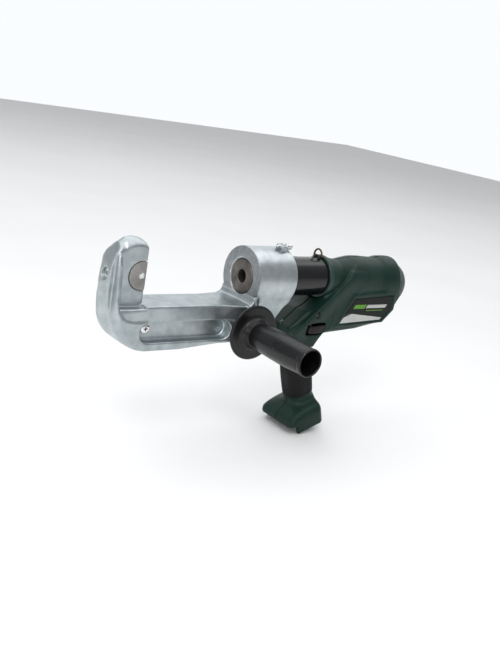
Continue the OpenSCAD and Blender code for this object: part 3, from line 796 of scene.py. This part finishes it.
BARREL_R = 27.0
COLLAR_X = span("barrel_collar", 0)[0]
place(turned("barrel_tube", softened([(23.1, 13.1), (23.1, 41), (24, 42), (24, 138), (5, 138), (5, 150),
                                      (21.5, 150), (21.5, 141), (BARREL_R, 141), (BARREL_R, 54.1),
                                      (30.9, 54.1), (30.9, 14.5), (29, 13.1)],
                                     [0, 0, 0, 0, 0, 0, 0.5, 0, 0.3, 0.5, 0.5, 0.5, 0]), GLOSS, around=144),
      "pistol", "barrel_black", "barrel")
place(turned("barrel_collar_ring", softened([(BARREL_R + 0.05, COLLAR_X), (29.2, COLLAR_X),
                                             (30.4, COLLAR_X + 1.3),
                                             (30.4, COLLAR_X + 5.6), (29.9, COLLAR_X + 6.4),
                                             (29.9, COLLAR_X + 7.2),
                                             (BARREL_R + 0.05, COLLAR_X + 7.2)],
                                            [0, 0.4, 0.5, 0.4, 0.2, 0.2, 0]),
             COLLAR, around=144), "pistol", "collar_green", "barrel_collar")

RING_X, RING_Z = 129.0, 28.4
WIRE_R = 1.3
legs = [(RING_X, -y, RING_Z) for y in (3.7, 5.6, 7.0)]
lean = math.radians(12)
top_z = RING_Z + 3 * math.cos(lean)
loop_r = 8 - 3 * math.sin(lean)
corner_pts = [(RING_X, -7.7, RING_Z + 0.5), (RING_X, -7.9, RING_Z + 1.5)]
bow = [(RING_X, -loop_r * math.cos(a), top_z + loop_r * math.sin(a)) for a in np.linspace(0, math.pi, 25)]
path = legs + corner_pts + bow + [(x, -y, z) for x, y, z in reversed(legs + corner_pts)]
place(swept("hanging_ring_wire", path, WIRE_R, BRONZE), "hanging_ring", "ring_wire", "hanging_ring")
lug_parts = []
for sign in (-1, 1):
    outline = arc((RING_X, RING_Z), 2.6, 0, 180, 10) + [(RING_X - 3.2, 26), (RING_X + 3.2, 26)]
    lug_parts.append(prism("lug", outline, 2.6 * sign, 5.7 * sign, DARK, bevel=0.5))
place(joined("ring_lug_pair", lug_parts), "pistol", "ring_wire", "ring_lugs")

# ---------------------------------------------------------------- housing

MOTOR_Z = -2.0
STEP_X = 141.0
MOTOR_R = 32.5
RAKE = math.radians(18.4)
FOOT = (150.0, -200.0)
FOOT_X = (-45.0, 18.0)
FOOT_HW = 37.0
GRIP_D, GRIP_W = 41.0, 36.0
GRIP_ROUND = 14.5
GRIP_SHIFT = -0.2
GRIP_SWELL = 0.9
SLEEVE_LOW, SLEEVE_HIGH = 26.2, 79.8
CASE_SCREW = (121, -48)
REAR_SCREW = (150, -62)

crease_z = [-90, -72, -52, -28, -11, 3, 10, 20, 27, 31, 40]
crease_x = [70, 79, 107, 135, 153, 169, 174, 184, 195, 206, 212]
side_band = [(176, 14), (169, 2), (153, -12), (135, -28), (107, -52), (82, -72), (84, -86), (96, -94),
             (126, -96),
             (134, -84), (140, -76), (152, -72), (187, -25), (202, -13), (204, 14)]
tail = [(150, -10), (147, -77), (205, -73), (240, -67), (262, -58), (278, -44), (287, -27), (290, -8),
        (286, 0),
        (200, 0)]
neck = [(138, -16), (132, -36), (108, -46), (83, -68), (80, -76), (84, -86), (110, -86), (180, -20), (180, 0)]


def to_grip(x, z):
    dx, dz = x - FOOT[0], z - FOOT[1]
    return dx * math.cos(RAKE) + dz * math.sin(RAKE), -dx * math.sin(RAKE) + dz * math.cos(RAKE)


def from_grip(gx, y, gz):
    return (FOOT[0] + gx * math.cos(RAKE) - gz * math.sin(RAKE), y,
            FOOT[1] + gx * math.sin(RAKE) + gz * math.cos(RAKE))


def rounded_rect(u, v, centre, half_u, half_v, r):
    a, b = np.abs(u - centre) - (half_u - r), np.abs(v) - (half_v - r)
    return np.hypot(np.maximum(a, 0), np.maximum(b, 0)) + np.minimum(np.maximum(a, b), 0) - r


def housing_outside(x, y, z):
    side = np.abs(y)
    rho = np.hypot(y, z - MOTOR_Z)
    # motor: swelling, taper and domed rear
    swell = np.clip((x - 180) / 99, 0, 1)
    radius = MOTOR_R - 4.3 * swell * swell * (1.6 - 0.6 * swell)
    tube = np.maximum(rho - radius, x - 272)
    dome = (np.sqrt(((x - 268) / 45.0) ** 2 + (y / 30.0) ** 2 + ((z + 12) / 37.5) ** 2) - 1) * 31
    dome = np.maximum(dome, 256 - x)
    motor = blend(tube, dome, 18) + 0.3
    motor = np.maximum(motor, STEP_X - x)
    crease = np.interp(z, crease_z, crease_x) - x
    proud = -blend(-motor, -(crease * 0.72), 0.9)
    slim = np.maximum(rho - np.interp(x, [141, 150, 164, 176, 192, 200],
                                      [30.0, 28.4, 26.4, 28.6, 31.0, 31.4]),
                      np.maximum(STEP_X - x, x - 215))
    d = blend(proud, slim, 1.0)
    # diagonal band, rear compartment and neck
    band_half = 33 - 2.7 * np.clip((-crease - 12) / 24, 0, 1)
    d = blend(d, capped(outline_distance(side_band, x, z), np.where(z > MOTOR_Z, rho, side) - band_half, 2.0),
              2.5)
    d = blend(d, capped(outline_distance(tail, x, z), side - 29.5, 7.0), 3.0)
    lip = outline_distance([(187, -19), (272, -14.5), (276, -44), (256, -63.5), (158, -67)], x, z)
    d = blend(d, capped(lip, side - 31.2, 2.0), 3.0)
    d = blend(d, capped(outline_distance(neck, x, z), side - 23.5 + np.clip((-z - 60) / 12, 0, 1) * 2, 4.0),
              2.5)
    # grip and battery foot
    gx, gz = to_grip(x, z)
    swell = GRIP_SWELL * np.sin(np.clip((gz - 26) / 60, 0, 1) * math.pi)
    grip = np.maximum(rounded_rect(gx, y, GRIP_SHIFT, GRIP_D / 2 + swell * 0.8, GRIP_W / 2 + swell * 0.6,
                                   GRIP_ROUND),
                      np.maximum(-gz, gz - 122))
    d = blend(d, grip, 13)
    block = np.maximum(rounded_rect(gx, y, (FOOT_X[0] + FOOT_X[1]) / 2, (FOOT_X[1] - FOOT_X[0]) / 2, FOOT_HW,
                                    10.0),
                       np.maximum(-18 - gz, gz - 19))
    front_roof = (gx - FOOT_X[0]) * -0.50 + (gz - 3.5) * 0.866
    side_roof = (side - FOOT_HW) * 0.47 + (gz - 9.0) * 0.883
    foot = carve(carve(block, -front_roof, 8.0), -side_roof, 9.0)
    return blend(d, foot, 6)


lever_window = [(105.5, -62.5), (112, -60.5), (141, -60), (141.5, -66), (136, -77), (106, -77)]
WALL = 3.0


def housing_field(x, y, z):
    outer = housing_outside(x, y, z)
    side = np.abs(y)
    gx, gz = to_grip(x, z)
    # hollow: the inside follows the outside
    hollow = np.maximum(outer + WALL, -gz + 2)
    d = np.maximum(outer, -hollow)
    # recessed label
    d = carve(d, capped(outline_distance(label_seat, x, z), 30.4 - side, 0.2), 1.2)
    # barrel and collar
    rho = np.hypot(y, z)
    d = np.maximum(d, -np.maximum(rho - 27.3, x - STEP_X))
    d = np.maximum(d, -np.maximum(rho - 21.7, x - 171))
    d = np.maximum(d, -np.maximum(rho - 30.8, x - STEP_X))
    # battery saddle, trigger opening and lever windows
    d = carve(d, box_distance(gx, y, gz, (-60, -32, -40), (13, 32, -4.5)), 1.0)
    d = carve(d, box_distance(gx, y, gz, (-60, -60, -40), (-32.5, 60, -4.5)), 1.0)
    d = np.maximum(d, -box_distance(gx, y, gz, (-45, -8.1, 83.3), (-10, 8.1, 112.7)))
    d = carve(d, np.maximum(outline_distance(lever_window, x, z), 26 - side), 0.8)
    d = carve(d, np.maximum(np.hypot(x - CASE_SCREW[0], z - CASE_SCREW[1]) - 4.0, 30 - side), 0.9)
    return carve(d, -(y + 0.1), 0.35)


label_seat = [(191, -24.5), (270, -20.5), (266.5, -43.5), (249.5, -60), (165, -63.5)]
left = skin("housing_shell_left", housing_field, (76, -39, -236), (322, 1, 36), 1.4, GREEN)
place(left, "pistol", "housing_green", "housing_left")
place(mirrored(left, "housing_shell_right"), "pistol", "housing_green", "housing_right")

# label film in its recess
label_outline = [(189.5, -26.5), (268.5, -22.5), (264.7, -43), (248.5, -58.3), (168, -61.8)]
film = prism("label_film_left", label_outline, -31.2, -30.2, LABEL, bevel=0.25)
place(film, "pistol", "label_panel", "label_left")
place(mirrored(film, "label_film_right"), "pistol", "label_panel", "label_right")

# housing screws: one on each side, and a second on the far side only
one = socket_screw("case_screw", (CASE_SCREW[0], -31.6, CASE_SCREW[1]), 3.4, 1.6, DARK, dome=0.4, hexagon=1.5)
screw_parts = [one, mirrored(one, "case_screw_far")]
rear = socket_screw("case_screw", (REAR_SCREW[0], -32.2, REAR_SCREW[1]), 3.4, 1.6, DARK, dome=0.4,
                    hexagon=1.5)
screw_parts.append(mirrored(rear, "case_screw_rear"))
bpy.data.objects.remove(rear)
place(joined("case_screws", screw_parts), "pistol", "dark_steel", "housing_screws")

# grip sleeve: a rubber skin with rounded ends
sleeve_points, sleeve_faces = [], []
around, rows = 96, 64
for inset in (0.0, 1.6):
    for i in range(rows + 1):
        gz = SLEEVE_LOW + (SLEEVE_HIGH - SLEEVE_LOW) * i / rows
        swell = GRIP_SWELL * math.sin(min(max((gz - 26) / 60, 0), 1) * math.pi)
        edge = 0.7 * (max(0, 1 - (gz - SLEEVE_LOW) / 1.6) ** 2 + max(0, 1 - (SLEEVE_HIGH - gz) / 1.6) ** 2)
        hu = GRIP_D / 2 + swell * 0.8 + 0.45 - edge - inset
        hv = GRIP_W / 2 + swell * 0.6 + 0.45 - edge - inset
        r = GRIP_ROUND - inset
        for k in range(around):
            w = 2 * math.pi * k / around
            dirx, diry = math.cos(w), math.sin(w)
            low_s, high_s = 0.0, 40.0
            for _ in range(22):
                mid = (low_s + high_s) / 2
                a, b = abs(mid * dirx) - (hu - r), abs(mid * diry) - (hv - r)
                inside = math.hypot(max(a, 0), max(b, 0)) + min(max(a, b), 0) - r < 0
                low_s, high_s = (mid, high_s) if inside else (low_s, mid)
            sleeve_points.append(from_grip(low_s * dirx + GRIP_SHIFT, low_s * diry, gz))
count = (rows + 1) * around
for s in (0, 1):
    for i in range(rows):
        for k in range(around):
            k2 = (k + 1) % around
            a = s * count + i * around
            sleeve_faces.append((a + k, a + k2, a + around + k2, a + around + k))
for i in (0, rows):
    for k in range(around):
        k2 = (k + 1) % around
        a = i * around
        sleeve_faces.append((a + k, a + k2, count + a + k2, count + a + k))
sleeve = make_mesh("grip_rubber_sleeve", sleeve_points, sleeve_faces, RUBBER, sharp=60)
outward(sleeve)
place(sleeve, "pistol", "grip_rubber", "grip_sleeve")

# trigger: a curved blade with rounded edges
blade = [(-13.2, 84), (-31, 84)] + [(-33 - 2 * s + 3.2 * math.sin(math.pi * s), 86 + 25 * s)
                                    for s in np.linspace(0, 1, 13)] + [(-33, 112), (-13.2, 112)]
lever_body = prism("trigger_blade", blade, -7.5, 7.5, BLACK, bevel=1.6, segments=4,
                   to_world=lambda gx, y, gz: from_grip(gx, y, gz))
place(lever_body, "trigger", "control_plastic", "trigger")

# retract lever: a paddle on each side and its shaft
paddle_outline = [(108.5, -66), (112, -64.5), (136, -63), (138, -65), (133, -73), (130, -74.5), (111, -74.5),
                  (108.5, -73)]
lever_parts = []
for sign in (-1, 1):
    ends = sorted((sign * 33.1, sign * 29.6))
    lever_parts.append(prism("paddle", paddle_outline, ends[0], ends[1], LEVER, bevel=0.9))
lever_parts.append(turned("lever_shaft", softened([(0, -30), (3, -30), (3, 30), (0, 30)], 0.3), DARK,
                          centre=(118, 0, -70), axis="-Y", around=40))
place(joined("retract_lever_paddles", lever_parts), "retract_lever", "control_plastic", "retract_lever")

# work light: lens at the neck's foot
light_low, light_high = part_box("work_light")
light_at = (light_low + light_high) / 2 / MM
tilt = Matrix.Translation(light_at * MM) @ Matrix.Rotation(math.radians(-55), 4, "Y")
lamp = turned("lamp_lens",
              softened([(0, -2.4), (4.1, -2.4), (4.1, 2.2), (2.6, 3.3), (0, 3.6)], [0, 0.3, 0.6, 1.4, 0]),
              LENS, around=56)
lamp.data.transform(tilt @ Matrix.Rotation(math.radians(-90), 4, "Y"))
place(lamp, "pistol", "lamp_lens", "work_light")

# battery terminals: block with four blades
terminal_parts = [prism("terminal_block", [(-13.9, -4.4), (9.9, -4.4), (9.9, 5.4), (-13.9, 5.4)], -12.9, 12.9,
                        BLACK,
                        bevel=0.8, to_world=from_grip)]
for y0 in (-9, -3, 3, 9):
    terminal_parts.append(prism("blade", [(-12, -13), (4, -13), (4, -4), (-12, -4)], y0 - 0.6, y0 + 0.6,
                                BRIGHT,
                                bevel=0.25, to_world=from_grip))
place(joined("terminal_block_blades", terminal_parts), "pistol", "terminal_plastic", "battery_terminals")

# ---------------------------------------------------------------- finishes of the kept CAD nodes

kept = {
    "anvil": ANVIL_STEEL, "anvil_bolt": BRIGHT, "anvil_screw": BRIGHT, "piston": RAM_STEEL,
    "piston_seal": SEAL,
    "ram_spring": SPRING, "spring_rod": BRIGHT, "handle_stud": BRIGHT, "trigger_switch": BLACK,
    "control_board": BOARD, "pump_block": PUMP, "pump_shaft": PUMP, "gear_case": PUMP, "motor_can": PUMP,
    "motor_rotor": SPRING, "motor_fan": FAN, "oil_bladder": SEAL, "release_valve": DARK,
}
for name, material in kept.items():
    mesh = nodes[name].data
    mesh.materials.clear()
    mesh.materials.append(material)

# ---------------------------------------------------------------- stage, light and camera

low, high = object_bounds()
floor_z = low[2] - 0.0005
floor = bpy.data.meshes.new("floor")
reach = 6.0
floor.from_pydata([(-reach, -reach, floor_z), (reach, -reach, floor_z), (reach, reach, floor_z),
                   (-reach, reach, floor_z)], [], [(0, 1, 2, 3)])
floor_material, ft, fb, fat = new_material("floor", (0.86, 0.86, 0.86), 0.0, 0.7)
ft.links.new(two_colors(ft, noise(ft, fat, 3, 2, 0.5), (0.85, 0.85, 0.85), (0.87, 0.87, 0.87)),
             fb.inputs["Base Color"])
floor.materials.append(floor_material)
floor_object = bpy.data.objects.new("floor", floor)
bpy.context.scene.collection.objects.link(floor_object)

world = bpy.data.worlds.new("studio")
bpy.context.scene.world = world
world.use_nodes = True
wt = world.node_tree
toward = wt.nodes.new("ShaderNodeVectorMath")
toward.operation = "DOT_PRODUCT"
toward.inputs[1].default_value = (0.646, 0.763, 0.0)
wt.links.new(wt.nodes.new("ShaderNodeTexCoord").outputs["Generated"], toward.inputs[0])
wall = ranged(wt, toward.outputs["Value"], 0.36, 1.0, 0.1, 0.85)
wt.nodes["Background"].inputs[0].default_value = (0.96, 0.98, 1.0, 1)
wt.links.new(wall, wt.nodes["Background"].inputs[1])
bpy.context.scene.view_settings.view_transform = "Standard"


def softbox(name, at, target, size, watts, color=(1, 1, 1)):
    data = bpy.data.lights.new(name, "AREA")
    data.shape = "RECTANGLE"
    data.size, data.size_y = size
    data.energy = watts
    data.color = color
    o = bpy.data.objects.new(name, data)
    o.location = at
    o.rotation_euler = (Vector(target) - Vector(at)).to_track_quat("-Z", "Y").to_euler()
    bpy.context.scene.collection.objects.link(o)


softbox("ceiling", (0.3, 0.3, 3.0), (0.0, 0.0, 0), (5.0, 5.0), 95)
softbox("key", (-0.9, -1.0, 1.3), (0.0, 0, -0.05), (0.9, 0.6), 11)
softbox("front", (-1.15, -1.45, 0.5), (0.0, 0, -0.02), (0.3, 1.0), 4.5)
softbox("left", (-1.5, 0.2, 0.5), (-0.1, 0, 0), (0.7, 0.9), 5)

camera_data = bpy.data.cameras.new("camera")
camera = bpy.data.objects.new("camera", camera_data)
bpy.context.scene.collection.objects.link(camera)
bpy.context.scene.camera = camera
# fitted to the photograph: the eye in metres, and the focal length in pixels of a 667 pixel high frame
FOCAL_PIXELS, FRAME_PIXELS, SENSOR_MM = 850, 667, 36
azimuth, elevation, roll = math.radians(40.27), math.radians(16.24), math.radians(10.25)
eye = Vector((-0.6858, -0.8477, 0.2422))
forward = Vector((math.sin(azimuth) * math.cos(elevation), math.cos(azimuth) * math.cos(elevation),
                  -math.sin(elevation)))
level = forward.cross(Vector((0, 0, 1))).normalized()
tall = level.cross(forward)
right = level * math.cos(roll) + tall * math.sin(roll)
up = tall * math.cos(roll) - level * math.sin(roll)
camera.matrix_world = Matrix.Translation(eye) @ Matrix((right, up, -forward)).transposed().to_4x4()
camera_data.sensor_fit = "VERTICAL"
camera_data.sensor_height = SENSOR_MM
camera_data.lens = FOCAL_PIXELS * SENSOR_MM / FRAME_PIXELS
